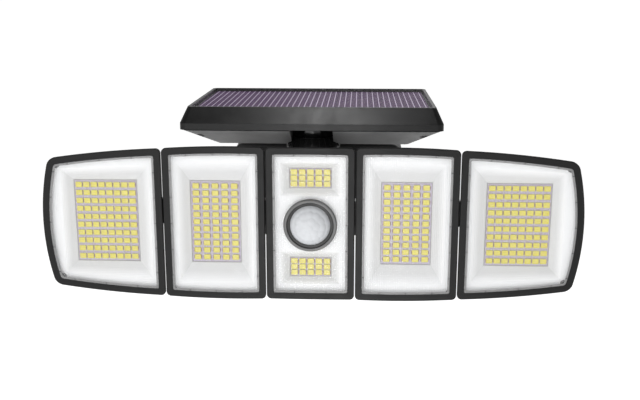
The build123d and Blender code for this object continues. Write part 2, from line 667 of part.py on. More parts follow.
with BuildPart() as side_screws:
    for side in (-1, 1):
        seat = SIDE_X - SCREW_SINK
        with BuildSketch(Plane.YZ.offset(side * (PLATE_WIDTH / 2 - 5))):
            with Locations((SIDE_SCREW_Y, 0)):
                Circle(SIDE_SCREW_R)
        extrude(amount=side * (seat - PLATE_WIDTH / 2 + 5))
        with BuildSketch(Plane.YZ.offset(side * seat)):
            with Locations((SIDE_SCREW_Y, 0)):
                Circle(3.5)
        extrude(amount=side * 2.0)
        with BuildSketch(Plane.YZ.offset(side * (seat + 2.0 - RECESS))):
            with Locations((SIDE_SCREW_Y, 0)):
                Rectangle(4.0, 0.9)
                Rectangle(0.9, 4.0)
        extrude(amount=side * RECESS, mode=Mode.SUBTRACT)
save(side_screws.part, "side_screws")

# ---------------------------------------------------------------- ball joint
# Turned profiles are drawn as radius and height, about the joint's upright axis.
BALL_Y = BALL_DEPTH - STANDOFF
JOINT_PLANE = Plane(origin=(0, BALL_Y, 0), x_dir=(1, 0, 0), z_dir=(0, -1, 0))
JOINT_AXIS = Axis((0, BALL_Y, 0), (0, 0, 1))
PLAY = 0.05
FOOT_LOW = NECK_TOP + 1.5

with BuildPart() as ball_stud:  # ball, stem and foot in one turning
    with BuildSketch(JOINT_PLANE):
        with BuildLine():
            neck_z = BALL_Z - sqrt(BALL_R**2 - STEM_R**2)
            Polyline((0, BALL_Z + BALL_R), (0, NECK_TOP - 4), (2.9, NECK_TOP - 4), (2.9, FOOT_LOW),
                     (STEM_FOOT_R, FOOT_LOW), (STEM_FOOT_R, FOOT_LOW + 1.2),
                     (STEM_R + 1.8, FOOT_LOW + STEM_FOOT), (STEM_R, FOOT_LOW + STEM_FOOT + 1.8),
                     (STEM_R, neck_z))
            ThreePointArc((STEM_R, neck_z), (BALL_R, BALL_Z), (0, BALL_Z + BALL_R))
        make_face()
    revolve(axis=JOINT_AXIS)
save(ball_stud.part, "ball_stud")

SEAT_RISE = 0.4  # how far the seat's rim stands above the ball's middle
CUP_R = BALL_R + PLAY

with BuildPart() as ball_seat:  # nylon cup over the ball
    with BuildSketch(JOINT_PLANE):
        with BuildLine():
            inside, outside = CUP_R * sqrt(0.5), SEAT_R * sqrt(0.5)
            inner_foot = (sqrt(CUP_R**2 - SEAT_RISE**2), BALL_Z + SEAT_RISE)
            outer_foot = (sqrt(SEAT_R**2 - SEAT_RISE**2), BALL_Z + SEAT_RISE)
            ThreePointArc(inner_foot, (inside, BALL_Z + inside), (0, BALL_Z + CUP_R))
            Line((0, BALL_Z + CUP_R), (0, BALL_Z + SEAT_R))
            ThreePointArc((0, BALL_Z + SEAT_R), (outside, BALL_Z + outside), outer_foot)
            Line(outer_foot, inner_foot)
        make_face()
    revolve(axis=JOINT_AXIS)
save(ball_seat.part, "ball_seat")

SOCKET_LOW = 42.6
SOCKET_SCREWS = [(x, BALL_Y + y) for x in (-8, 8) for y in (-8, 8)]

with BuildPart() as ball_socket:  # a slightly barrelled cup, open below
    with BuildSketch(JOINT_PLANE):
        with BuildLine():
            Polyline((SOCKET_R, RING_TOP), (SOCKET_R, SOCKET_LOW), (0, SOCKET_LOW), (0, CHANNEL_TOP),
                     (SOCKET_R, CHANNEL_TOP))
            ThreePointArc((SOCKET_R, CHANNEL_TOP), (SOCKET_R + 0.25, (CHANNEL_TOP + RING_TOP) / 2),
                          (SOCKET_R, RING_TOP))
        make_face()
    revolve(axis=JOINT_AXIS)
    with Locations((0, BALL_Y, BALL_Z)):
        Sphere(SEAT_R + PLAY, mode=Mode.SUBTRACT)
    add(upright(0, BALL_DEPTH, SEAT_R + PLAY, SOCKET_LOW - 1, BALL_Z), mode=Mode.SUBTRACT)
    add(posts(SOCKET_SCREWS, 1.2, CHANNEL_TOP - 4, CHANNEL_TOP), mode=Mode.SUBTRACT)
save(ball_socket.part, "ball_socket")

with BuildPart() as rib_groove:  # follows the ring's side and cone, drawn about the origin
    with BuildSketch(Plane.XZ):
        Polygon((RING_R - RIB_DEPTH, RING_LOW - 1), (RING_R + 2, RING_LOW - 1), (RING_R + 2, RING_TOP),
                (RING_CONE_R - RIB_DEPTH + 0.2, RING_TOP + 1), (RING_R - RIB_DEPTH, RING_SHOULDER),
                align=None)
    extrude(amount=RIB_GROOVE / 2, both=True)

with BuildPart() as lock_ring:  # ribbed nut that clamps the ball from below
    with BuildSketch(JOINT_PLANE):
        Polygon((0, RING_LOW), (RING_R, RING_LOW), (RING_R, RING_SHOULDER), (RING_CONE_R, RING_TOP),
                (0, RING_TOP), align=None)
    revolve(axis=JOINT_AXIS)
    with Locations((0, BALL_Y)):
        with PolarLocations(0, RIBS):
            add(rib_groove.part, mode=Mode.SUBTRACT)
    add(upright(0, BALL_DEPTH, SOCKET_R + PLAY, SOCKET_LOW - 0.2, RING_TOP + 1), mode=Mode.SUBTRACT)
    with Locations((0, BALL_Y, BALL_Z)):
        Sphere(BALL_R + PLAY, mode=Mode.SUBTRACT)
save(lock_ring.part, "lock_ring")


# ---------------------------------------------------------------- solar panel
PANEL_MIDDLE = (PANEL_FRONT + PANEL_BACK) / 2 - STANDOFF
PANEL_DEPTH = PANEL_BACK - PANEL_FRONT
PANEL_WIDTH = 2 * PANEL_HALF
BOX_DEPTH = BOX_BACK - BOX_FRONT
FRAME_SHELF = PANEL_TOP - GLASS - CELL_SHEET - 0.1
BOX_SCREWS = [(x, PANEL_MIDDLE + y) for x in (-72.7, 72.7) for y in (-46.5, 46.5)]
BOX_SCREW_SEAT = 56.0
CEILING_FRONT = PANEL_FRONT + BEVEL + GLASS_MARGIN + 2.5  # just inside the panel's frame
TRAY_DEPTH = 4 * CELL_R + 1
CHARGE_X, CHARGE_Z, CHARGE_WIDTH, CHARGE_LENGTH = 47.0, 50.0, 18.0, 34.0
BATTERY_Y = PANEL_MIDDLE + 8.55
CELL_ROWS = [BATTERY_Y - CELL_R - 0.3, BATTERY_Y + CELL_R + 0.3]


def panel_level(margin, corner=PANEL_CORNER):
    """A rounded rectangle, this far inside the panel's lip as seen from above."""
    with BuildSketch() as level:
        with Locations((0, PANEL_MIDDLE)):
            RectangleRounded(PANEL_WIDTH - 2 * margin, PANEL_DEPTH - 2 * margin, corner)
    return level.sketch


def box_form(inset, floor):
    """The battery box as a solid: an upside-down pyramid under the panel, cut off flat."""
    top = LIP_LOW - 0.6
    with BuildPart() as form:
        with BuildSketch(Plane.XY.offset(top)):
            with Locations((0, PANEL_MIDDLE)):
                RectangleRounded(PANEL_WIDTH - 3.6 - 2 * inset, PANEL_DEPTH - 3.4 - 2 * inset, 3.5)
        with BuildSketch(Plane.XY.offset(BOX_LOW + floor)):
            with Locations((0, PANEL_MIDDLE)):
                RectangleRounded(2 * BOX_HALF - 2 * inset, BOX_DEPTH - 2 * inset, 3.0)
        loft(ruled=True)
    return form.part


def channel(wall):
    """The room of the joint's socket in the battery box, this much larger all round."""
    with BuildPart() as room:
        add(slab(-CHANNEL_HALF - wall, CHANNEL_HALF + wall, CHANNEL_FRONT - 5 * wall, BALL_DEPTH,
                 BOX_LOW - 5, CHANNEL_TOP + wall))
        add(upright(0, BALL_DEPTH, CHANNEL_HALF + wall, BOX_LOW - 5, CHANNEL_TOP + wall))
    return room.part


def ring_room(room):
    """The lock ring's own form, this much larger all round."""
    with BuildPart() as form:
        with BuildSketch(JOINT_PLANE):
            Polygon((0, BOX_LOW - 5), (RING_R + room, BOX_LOW - 5), (RING_R + room, RING_SHOULDER),
                    (RING_CONE_R + room, RING_TOP), (RING_CONE_R + room, RING_TOP + room / 3),
                    (0, RING_TOP + room / 3), align=None)
        revolve(axis=JOINT_AXIS)
    return form.part


with BuildPart() as panel_frame:
    with BuildSketch(Plane.XY.offset(LIP_LOW)):
        add(panel_level(0))
    extrude(amount=LIP_HIGH - LIP_LOW)
    with BuildSketch(Plane.XY.offset(LIP_HIGH)):
        add(panel_level(0))
    with BuildSketch(Plane.XY.offset(PANEL_TOP)):
        add(panel_level(BEVEL, corner=3.0))
    loft(ruled=True)
    with BuildSketch(Plane.XY.offset(FRAME_SHELF)):
        add(panel_level(BEVEL + GLASS_MARGIN, corner=2.0))
    extrude(amount=PANEL_TOP - FRAME_SHELF, mode=Mode.SUBTRACT)
    with BuildSketch(Plane.XY.offset(LIP_LOW)):
        add(panel_level(BEVEL + GLASS_MARGIN + 2, corner=2.0))
    extrude(amount=PANEL_TOP - LIP_LOW, mode=Mode.SUBTRACT)
    add(posts(BOX_SCREWS, 3.4, LIP_LOW, FRAME_SHELF))
    add(posts(BOX_SCREWS, 1.3, LIP_LOW, LIP_LOW + 8), mode=Mode.SUBTRACT)
save(panel_frame.part, "panel_frame")

with BuildPart() as solar_glass:
    with BuildSketch(Plane.XY.offset(PANEL_TOP - 0.1 - GLASS)):
        add(panel_level(BEVEL + GLASS_MARGIN + 0.1, corner=2.0))
    extrude(amount=GLASS)
save(solar_glass.part, "solar_glass")

with BuildPart() as solar_cells:
    with BuildSketch(Plane.XY.offset(FRAME_SHELF)):
        add(panel_level(BEVEL + CELL_MARGIN, corner=0.5))
    extrude(amount=CELL_SHEET)
save(solar_cells.part, "solar_cells")

with BuildPart() as box_hollow:
    add(box_form(BOX_WALL * 1.4, BOX_WALL))
    add(channel(BOX_WALL), mode=Mode.SUBTRACT)
    add(ring_room(CONE_ROOM + BOX_WALL), mode=Mode.SUBTRACT)
    add(posts(BOX_SCREWS, 4.4, BOX_LOW, LIP_LOW), mode=Mode.SUBTRACT)

with BuildPart() as lower_shell:
    add(box_form(0, 0))
    add(channel(0), mode=Mode.SUBTRACT)
    add(ring_room(CONE_ROOM), mode=Mode.SUBTRACT)
    add(box_hollow.part, mode=Mode.SUBTRACT)
    # the channel's ceiling, and its open front up to the panel's lip
    ceiling_half = CHANNEL_HALF + BOX_WALL
    add(slab(-ceiling_half, ceiling_half, CEILING_FRONT, BALL_DEPTH, CHANNEL_TOP, CHANNEL_TOP + BOX_WALL))
    add(upright(0, BALL_DEPTH, ceiling_half, CHANNEL_TOP, CHANNEL_TOP + BOX_WALL))
    add(slab(-CHANNEL_HALF, CHANNEL_HALF, 0, CEILING_FRONT, CHANNEL_TOP - 1, LIP_LOW), mode=Mode.SUBTRACT)
    for side in (-1, 1):  # ribs under the charge board
        rib_y = PANEL_MIDDLE + side * (CHARGE_LENGTH / 2 - 3) + STANDOFF
        add(slab(CHARGE_X - 8, CHARGE_X + 8, rib_y - 1, rib_y + 1, BOX_LOW + 1, CHARGE_Z))
    add(posts(BOX_SCREWS, 1.5, BOX_LOW, LIP_LOW), mode=Mode.SUBTRACT)
    add(posts(BOX_SCREWS, 2.9, BOX_LOW, BOX_SCREW_SEAT), mode=Mode.SUBTRACT)
    add(posts(SOCKET_SCREWS, 1.4, BOX_LOW, LIP_LOW + 1), mode=Mode.SUBTRACT)
save(lower_shell.part, "lower_shell")

with BuildPart() as shell_screws:
    head_low = BOX_SCREW_SEAT - 1.6
    add(posts(BOX_SCREWS, 1.28, BOX_SCREW_SEAT, LIP_LOW + 7))
    add(posts(BOX_SCREWS, 2.6, head_low, BOX_SCREW_SEAT))
    add(plus_signs(BOX_SCREWS, 3.0, 0.7, head_low, head_low + RECESS), mode=Mode.SUBTRACT)
save(shell_screws.part, "shell_screws")

with BuildPart() as socket_screws:
    seat = CHANNEL_TOP + BOX_WALL
    add(posts(SOCKET_SCREWS, 1.18, CHANNEL_TOP - 3.8, seat))
    add(posts(SOCKET_SCREWS, 2.3, seat, seat + 1.6))
    add(plus_signs(SOCKET_SCREWS, 2.8, 0.6, seat + 1.6 - RECESS, seat + 1.6), mode=Mode.SUBTRACT)
save(socket_screws.part, "socket_screws")

with BuildPart() as battery_tray:  # a plate with end walls that hold the cells side by side
    base_low = BOX_LOW + BOX_WALL
    with BuildSketch(Plane.XY.offset(base_low)):
        with Locations((0, BATTERY_Y)):
            Rectangle(CELL_LENGTH + 6, TRAY_DEPTH)
    extrude(amount=5)
    for end in (-1, 1):
        with BuildSketch(Plane.XY.offset(base_low)):
            with Locations((end * (CELL_LENGTH + 4.4) / 2, BATTERY_Y)):
                Rectangle(1.6, TRAY_DEPTH)
        extrude(amount=CELL_Z - base_low + 4)
    for row in CELL_ROWS:
        with BuildSketch(Plane.YZ.offset(-CELL_LENGTH / 2 - 0.3)):
            with Locations((row, CELL_Z)):
                Circle(CELL_R + 0.1)
        extrude(amount=CELL_LENGTH + 0.6, mode=Mode.SUBTRACT)
    add(ring_room(CONE_ROOM + BOX_WALL + 0.4), mode=Mode.SUBTRACT)
save(battery_tray.part, "battery_tray")

with BuildPart() as battery_cells:
    for row in CELL_ROWS:
        with BuildSketch(Plane.YZ.offset(-CELL_LENGTH / 2)):
            with Locations((row, CELL_Z)):
                Circle(CELL_R)
        extrude(amount=CELL_LENGTH)
        with BuildSketch(Plane.YZ.offset(CELL_LENGTH / 2)):
            with Locations((row, CELL_Z)):
                Circle(2.8)
        extrude(amount=0.3)
save(battery_cells.part, "battery_cells")

with BuildPart() as charge_board:  # beside the cells, with its chips and a coil
    with BuildSketch(Plane.XY.offset(CHARGE_Z)):
        with Locations((CHARGE_X, PANEL_MIDDLE)):
            Rectangle(CHARGE_WIDTH, CHARGE_LENGTH)
    extrude(amount=BOARD)
    with BuildSketch(Plane.XY.offset(CHARGE_Z + BOARD)):
        with Locations((CHARGE_X, PANEL_MIDDLE)):
            with GridLocations(0, 11, 1, 3):
                Rectangle(7, 5)
    extrude(amount=1.4)
    add(posts([(CHARGE_X + 5, PANEL_MIDDLE + 5.5)], 2.5, CHARGE_Z + BOARD, CHARGE_Z + BOARD + 4))
save(charge_board.part, "charge_board")
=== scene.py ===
import json
from math import acos, cos, pi, radians, sin

import bpy
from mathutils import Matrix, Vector


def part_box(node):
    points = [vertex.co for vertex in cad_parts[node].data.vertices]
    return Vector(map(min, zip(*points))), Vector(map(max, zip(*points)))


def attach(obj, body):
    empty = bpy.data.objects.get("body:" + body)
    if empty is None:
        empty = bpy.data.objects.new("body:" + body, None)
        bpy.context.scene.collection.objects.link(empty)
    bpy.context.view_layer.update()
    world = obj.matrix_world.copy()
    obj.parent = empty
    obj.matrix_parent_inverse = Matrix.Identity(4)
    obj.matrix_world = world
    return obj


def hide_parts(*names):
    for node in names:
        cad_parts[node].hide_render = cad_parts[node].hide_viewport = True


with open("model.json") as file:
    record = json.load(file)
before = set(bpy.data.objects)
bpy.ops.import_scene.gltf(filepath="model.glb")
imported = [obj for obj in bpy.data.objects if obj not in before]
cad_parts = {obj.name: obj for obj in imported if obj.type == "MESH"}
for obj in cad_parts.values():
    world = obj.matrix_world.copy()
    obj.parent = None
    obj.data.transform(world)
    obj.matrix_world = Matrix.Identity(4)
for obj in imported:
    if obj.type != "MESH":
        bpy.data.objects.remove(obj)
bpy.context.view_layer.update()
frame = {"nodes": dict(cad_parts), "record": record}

# The looks of the five-head solar flood light: procedural materials for the CAD nodes, and detailed
# pieces for the LEDs, the solar cells, the sensor's dome and the clips round the lenses.

nodes = frame["nodes"]
MM = 0.001


# ---------------------------------------------------------------- camera, floor and light
scene = bpy.context.scene
scene.view_settings.view_transform = "Standard"
scene.view_settings.look = "None"

# the photo's camera, fitted to the head fronts, the panel's lip and the wall base
camera = bpy.data.objects.new("camera", bpy.data.cameras.new("camera"))
scene.collection.objects.link(camera)
camera.data.lens = 50
camera.data.sensor_width = 36
camera.location = (0.0305, -0.6760, 0.14826)
camera.rotation_euler = (radians(90 - 13.5417), 0, radians(2.5376))
scene.camera = camera


def softbox(name, place, target, width, height, power):
    """A white area light at a place, turned towards its target."""
    light = bpy.data.lights.new(name, "AREA")
    light.shape = "RECTANGLE"
    light.size, light.size_y = width, height
    light.energy = power
    lamp = bpy.data.objects.new(name, light)
    scene.collection.objects.link(lamp)
    lamp.location = place
    lamp.rotation_euler = (Vector(target) - Vector(place)).to_track_quat("-Z", "Y").to_euler()


middle = (0, -0.1, 0.02)
lip = (0, -0.12, 0.06)
softbox("key_light", (-1.5, -1.5, 0.45), middle, 1.4, 1.4, 9.5)
softbox("front_light", (-0.35, -1.8, 0.3), middle, 1.0, 1.2, 5.8)
softbox("fill_light", (1.3, -1.3, 0.4), middle, 1.0, 1.0, 1)
softbox("top_light", (-0.5, 0.1, 1.5), middle, 1.2, 0.8, 3)
softbox("bevel_light", (-0.04, -1.27, 1.08), lip, 0.12, 0.35, 3.6)
softbox("low_light", (-0.03, -1.25, -0.32), middle, 0.18, 0.45, 1.7)
softbox("back_light", (0.4, 1.5, 0.9), middle, 1.2, 0.8, 5)

world = bpy.data.worlds.new("studio")
scene.world = world
world.use_nodes = True
world.node_tree.nodes["Background"].inputs["Color"].default_value = (1.0, 1.0, 1.0, 1)
world.node_tree.nodes["Background"].inputs["Strength"].default_value = 0.45


# ---------------------------------------------------------------- materials
def grey(level):
    """The linear colour of a grey given as it looks on screen, 0 to 255."""
    return rgb(level, level, level)


def rgb(red, green, blue):
    """The linear colour of a screen colour, each part 0 to 255."""
    linear = [(v / 255 / 12.92 if v <= 10 else ((v / 255 + 0.055) / 1.055) ** 2.4)
              for v in (red, green, blue)]
    return (*linear, 1.0)


def scaled(colour, factor):
    """A colour made lighter or darker by a factor."""
    return (*[min(part * factor, 1.0) for part in colour[:3]], 1.0)


class Surface:
    """A procedural material, built up in layers over one Principled shader, in object space."""

    def __init__(self, name, colour, roughness, **constants):
        self.material = bpy.data.materials.new(name)
        self.material.use_nodes = True
        self.tree = self.material.node_tree
        self.bsdf = self.tree.nodes["Principled BSDF"]
        self.output = self.tree.nodes["Material Output"]
        self.colour = colour
        self.bsdf.inputs["Base Color"].default_value = colour
        self.bsdf.inputs["Roughness"].default_value = roughness
        for socket, value in constants.items():
            self.bsdf.inputs[socket.replace("_", " ")].default_value = value
        self.place = self.node("ShaderNodeTexCoord").outputs["Object"]
        self.normal = None

    def node(self, kind, inputs=None, **settings):
        made = self.tree.nodes.new(kind)
        for key, value in settings.items():
            setattr(made, key, value)
        for key, value in (inputs or {}).items():
            if isinstance(value, bpy.types.NodeSocket):
                self.tree.links.new(value, made.inputs[key])
            else:
                made.inputs[key].default_value = value
        return made

    def math(self, operation, first, second=0.0, clamp=False):
        made = self.node("ShaderNodeMath", {0: first, 1: second}, operation=operation, use_clamp=clamp)
        return made.outputs[0]

    def noise(self, pitch_mm, detail=3.0, stretch=(1, 1, 1)):
        """Noise whose blobs are about this far apart, in millimetres."""
        scale = [1 / (pitch_mm * MM) * part for part in stretch]
        moved = self.node("ShaderNodeMapping", {"Vector": self.place, "Scale": scale}).outputs[0]
        made = self.node("ShaderNodeTexNoise", {"Vector": moved, "Scale": 1.0, "Detail": detail})
        return made.outputs["Fac"]

    def between(self, factor, low, high, lowest=0.3, highest=0.7):
        """A number from low to high as the factor goes from lowest to highest."""
        made = self.node("ShaderNodeMapRange", {"Value": factor, "From Min": lowest, "From Max": highest,
                                                "To Min": low, "To Max": high})
        return made.outputs["Result"]

    def blend(self, factor, first, second):
        """A colour between two others; sockets 6 and 7, and output 2, are the Mix node's colours."""
        made = self.node("ShaderNodeMix", {0: factor, 6: first, 7: second}, data_type="RGBA")
        return made.outputs[2]

    def depth(self):
        """The place along Y, which grows from the heads' fronts towards the wall."""
        return self.node("ShaderNodeSeparateXYZ", {0: self.place}).outputs["Y"]

    def set(self, socket, value):
        """Drives one of the Principled shader's sockets."""
        self.tree.links.new(value, self.bsdf.inputs[socket])
        return self

    def mottle(self, amount, pitch_mm):
        """Uneven colour, by this share each way."""
        spread = self.between(self.noise(pitch_mm), 0.0, 1.0)
        self.tint = self.blend(spread, scaled(self.colour, 1 - amount), scaled(self.colour, 1 + amount))
        return self.set("Base Color", self.tint)

    def uneven_gloss(self, low, high, pitch_mm):
        """Roughness that wanders between two values."""
        return self.set("Roughness", self.between(self.noise(pitch_mm), low, high))

    def soft_edges(self, radius_mm, edge_highlight=None):
        """Edges that catch the light, with a painted highlight along them, laid on in patches, if a colour is
        given for it.
        """
        bevel = self.node("ShaderNodeBevel", {"Radius": radius_mm * MM}, samples=4).outputs[0]
        if edge_highlight:
            facing = self.node("ShaderNodeNewGeometry").outputs["Normal"]
            product = self.node("ShaderNodeVectorMath", {0: bevel, 1: facing}, operation="DOT_PRODUCT")
            same = product.outputs["Value"]
            patchy = self.between(self.noise(6.0), 0.0, 1.0)
            # painted highlight: where the bevelled normal turns from the face's own, the colour goes towards
            # the given lighter one, in patches
            edge_highlight_mask = self.math("MULTIPLY", self.between(same, 1.0, 0.0, 0.80, 0.99), patchy)
            self.set("Base Color", self.blend(edge_highlight_mask, self.tint, edge_highlight))
        self.normal = bevel
        self.tree.links.new(bevel, self.bsdf.inputs["Normal"])
        return self

    def relief(self, height, depth_mm):
        """Fine relief from a height, over what the surface already has."""
        inputs = {"Height": height, "Distance": depth_mm * MM, "Strength": 1.0}
        if self.normal:
            inputs["Normal"] = self.normal
        self.normal = self.node("ShaderNodeBump", inputs).outputs[0]
        self.tree.links.new(self.normal, self.bsdf.inputs["Normal"])
        return self

    def grain(self, pitch_mm, depth_mm):
        """The fine pits of a mould's surface."""
        return self.relief(self.noise(pitch_mm, detail=2.0), depth_mm)


def plastic(name, colour, low, high, grain_mm, grain_depth, edge_highlight=None, edge=0.35, specular=0.25):
    """Moulded plastic: uneven colour and gloss, spark-eroded grain and softened edges, with a painted
    highlight on the edges where a colour is given for it.
    """
    made = Surface(name, colour, (low + high) / 2, Specular_IOR_Level=specular)
    made.mottle(0.06, 14.0)
    made.uneven_gloss(low, high, 9.0)
    made.soft_edges(edge, edge_highlight)
    made.grain(grain_mm, grain_depth)
    return made.material


def reflector_plastic():
    """White moulding with painted shade: brightest on its face and darker down in the pockets."""
    made = Surface("white_reflector", grey(240), 0.36, Specular_IOR_Level=0.2)
    face_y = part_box("centre_reflector")[0].y
    # painted shade: the deeper a point lies in a pocket, the darker its colour
    pocket_shade = made.between(made.depth(), 0.0, 1.0, face_y + 0.05 * MM, face_y + 1.8 * MM)
    made.set("Base Color", made.blend(pocket_shade, grey(233), grey(204)))
    made.uneven_gloss(0.32, 0.4, 9.0)
    made.soft_edges(0.4)
    made.grain(0.7, 0.006)
    return made.material


def bezel_plastic():
    """Glossy ring: a dark inner band round the dome, and a paler band that catches the light."""
    made = Surface("bezel_gloss", grey(70), 0.2, Specular_IOR_Level=0.2)
    band_r, blur = 14.8 * MM, 0.25 * MM
    flat = made.node("ShaderNodeVectorMath", {0: made.place, 1: (1, 0, 1)}, operation="MULTIPLY").outputs[0]
    radius = made.node("ShaderNodeVectorMath", {0: flat}, operation="LENGTH").outputs["Value"]
    outer = made.between(radius, 0.0, 1.0, band_r, band_r + blur)
    patches = made.between(made.noise(5.0), 0.0, 1.0)
    made.set("Base Color", made.blend(outer, made.blend(patches, grey(12), grey(18)),
                                      made.blend(patches, grey(88), grey(96))))
    made.uneven_gloss(0.16, 0.24, 9.0)
    made.soft_edges(0.25)
    made.grain(0.9, 0.003)
    return made.material


def clear_cover(name, ior, roughness, shine, prism_mm=None):
    """Clear plastic or glass that lets light straight through, with a haze that shows its thickness.

    The shine is the share of the Fresnel reflection that is kept. The pitch of the prisms is given for
    the heads' lenses alone, whose edge is a bead that stands proud of the window.
    """
    made = Surface(name, grey(235), 0.25)
    made.uneven_gloss(0.18, 0.3, 20.0)
    gloss = made.node("ShaderNodeBsdfGlossy", {"Color": grey(255), "Roughness": roughness})
    through = made.node("ShaderNodeBsdfTransparent", {"Color": (0.985, 0.987, 0.99, 1)})
    fresnel = made.node("ShaderNodeFresnel", {"IOR": ior})
    haze = made.between(made.noise(12.0), 0.002, 0.006)
    if prism_mm:
        scale = 1 / (prism_mm * MM)
        grid = made.node("ShaderNodeMapping", {"Vector": made.place, "Scale": (scale, 0, scale)}).outputs[0]
        prisms = made.node("ShaderNodeTexVoronoi", {"Vector": grid, "Scale": 1.0, "Randomness": 0.0},
                           distance="CHEBYCHEV").outputs["Distance"]
        relief = {"Height": prisms, "Distance": 0.08 * MM, "Strength": 0.6}
        bump = made.node("ShaderNodeBump", relief).outputs[0]
        for shader in (gloss, fresnel, made.bsdf):
            made.tree.links.new(bump, shader.inputs["Normal"])
        haze = made.between(prisms, 0.14, 0.01, 0.25, 0.5)
        # painted light: the clear bead is made grey and nearly opaque, standing for the light it catches
        bead = made.math("LESS_THAN", made.depth(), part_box("centre_lens")[0].y + 0.13 * MM)
        painted_bead_light = made.between(made.noise(3.0), 0.78, 0.9)
        haze = made.math("ADD", made.math("MULTIPLY", haze, made.math("SUBTRACT", 1.0, bead)),
                         made.math("MULTIPLY", bead, painted_bead_light))
        # the bead's grey colour is painted light
        made.set("Base Color", made.blend(bead, grey(232), grey(122)))
    mirrored = made.math("MULTIPLY", fresnel.outputs[0], shine)
    clear = made.node("ShaderNodeMixShader", {0: mirrored, 1: through.outputs[0], 2: gloss.outputs[0]})
    whole = made.node("ShaderNodeMixShader", {0: haze, 1: clear.outputs[0], 2: made.bsdf.outputs[0]})
    made.tree.links.new(whole.outputs[0], made.output.inputs["Surface"])
    return made.material


def metal(name, colour, low, high, stretch=(1, 1, 1)):
    """Bare, plated or blackened metal, with gloss that can be brushed along one axis."""
    made = Surface(name, colour, (low + high) / 2, Metallic=1.0)
    made.mottle(0.10, 4.0)
    made.set("Roughness", made.between(made.noise(0.8, stretch=stretch), low, high))
    made.soft_edges(0.15)
    made.grain(0.5, 0.008)
    return made.material


def circuit_board(name, colour, line_colour, pitch_mm):
    """Solder mask over copper: the traces show as a faint raised pattern of a second tone."""
    made = Surface(name, colour, 0.35)
    scale = 1 / (pitch_mm * MM)
    flat = made.node("ShaderNodeMapping", {"Vector": made.place, "Scale": (scale, scale, scale)}).outputs[0]
    traces = made.node("ShaderNodeTexVoronoi", {"Vector": flat, "Scale": 1.0, "Randomness": 0.35},
                       feature="DISTANCE_TO_EDGE", distance="EUCLIDEAN").outputs["Distance"]
    line = made.between(traces, 1.0, 0.0, 0.05, 0.10)
    made.set("Base Color", made.blend(line, colour, line_colour))
    made.uneven_gloss(0.3, 0.42, 5.0)
    made.relief(line, 0.02)
    return made.material


# each plastic's edge colour, where one is given, is a painted highlight on its edges
looks = {
    "frame_plastic": plastic("frame_plastic", grey(16), 0.32, 0.40, 0.45, 0.012, edge_highlight=grey(60), specular=0.2),
    "shell_plastic": plastic("shell_plastic", grey(54), 0.44, 0.56, 0.6, 0.03, edge_highlight=grey(62)),
    "panel_plastic": plastic("panel_plastic", grey(12), 0.2, 0.26, 0.5, 0.008, edge_highlight=grey(40), edge=0.5,
                             specular=0.2),
    "box_plastic": plastic("box_plastic", grey(110), 0.42, 0.52, 0.6, 0.02, edge_highlight=grey(140)),
    "ring_plastic": plastic("ring_plastic", grey(14), 0.3, 0.4, 0.4, 0.01, edge_highlight=grey(48), edge=0.2),
    "bezel_gloss": bezel_plastic(),
    "joint_gloss": plastic("joint_gloss", grey(8), 0.12, 0.2, 0.9, 0.002, edge=0.3, specular=0.4),
    "tray_plastic": plastic("tray_plastic", grey(38), 0.5, 0.6, 0.5, 0.02),
    "nylon": plastic("nylon", rgb(222, 220, 208), 0.3, 0.4, 0.8, 0.01),
    "button_rubber": plastic("button_rubber", grey(40), 0.6, 0.75, 0.3, 0.02),
    "battery_wrap": plastic("battery_wrap", rgb(52, 98, 176), 0.25, 0.35, 2.0, 0.01, specular=0.5),
    "white_reflector": reflector_plastic(),
    "lens_clips": plastic("lens_clips", grey(60), 0.35, 0.45, 0.4, 0.01),
    "clear_lens": clear_cover("clear_lens", 1.45, 0.09, shine=0.12, prism_mm=1.15),
    "panel_glass": clear_cover("panel_glass", 1.3, 0.3, shine=0.06),
    "black_screws": metal("black_screws", grey(70), 0.35, 0.5),
    "zinc_steel": metal("zinc_steel", grey(196), 0.25, 0.42, stretch=(1, 1, 0.2)),
    "sensor_can": metal("sensor_can", grey(188), 0.3, 0.4),
    "led_board": circuit_board("led_board", rgb(172, 164, 184), rgb(148, 130, 146), 1.9),
    "circuit_board": circuit_board("circuit_board", rgb(24, 92, 54), rgb(56, 132, 78), 2.2),
}
slots = {part["node"]: part["material_slot"] for part in frame["record"]["subparts"]}
for name, node in nodes.items():
    look = looks.get(slots[name], looks["shell_plastic"])
    for slot in node.material_slots:
        slot.material = look

# a hair of air behind each lens, so that its back and the reflector's face don't share one plane
for name, node in nodes.items():
    if name.endswith("_lens"):
        gap = node.modifiers.new("bond_gap", "DISPLACE")
        gap.direction = "Y"
        gap.mid_level = 0.0
        gap.strength = -0.03 * MM


# ---------------------------------------------------------------- detailed pieces
def mesh_piece(name, verts, faces, materials, face_materials=None, smooth=False):
    """A mesh object in the scene; each face can have its own one of the materials."""
    mesh = bpy.data.meshes.new(name)
    mesh.from_pydata([tuple(v) for v in verts], [], faces)
    for material in materials:
        mesh.materials.append(material)
    for i, polygon in enumerate(mesh.polygons):
        polygon.material_index = face_materials[i] if face_materials else 0
        polygon.use_smooth = smooth
    mesh.validate()
    piece = bpy.data.objects.new(name, mesh)
    scene.collection.objects.link(piece)
    return piece


class Builder:
    """Collects loops of points, and the faces between them, into one mesh of several tones."""

    def __init__(self):
        self.verts, self.faces, self.tones = [], [], []

    def loop(self, points):
        """Adds points and returns their numbers."""
        start = len(self.verts)
        self.verts += points
        return list(range(start, start + len(points)))

    def face(self, corners, tone):
        self.faces.append(corners)
        self.tones.append(tone)

    def bridge(self, first, second, tone):
        """A band of four-sided faces between two closed loops."""
        count = len(first)
        for i in range(count):
            j = (i + 1) % count
            self.face([first[i], first[j], second[j], second[i]], tone)

    def piece(self, name, materials, smooth=False):
        return mesh_piece(name, self.verts, self.faces, materials, self.tones, smooth)


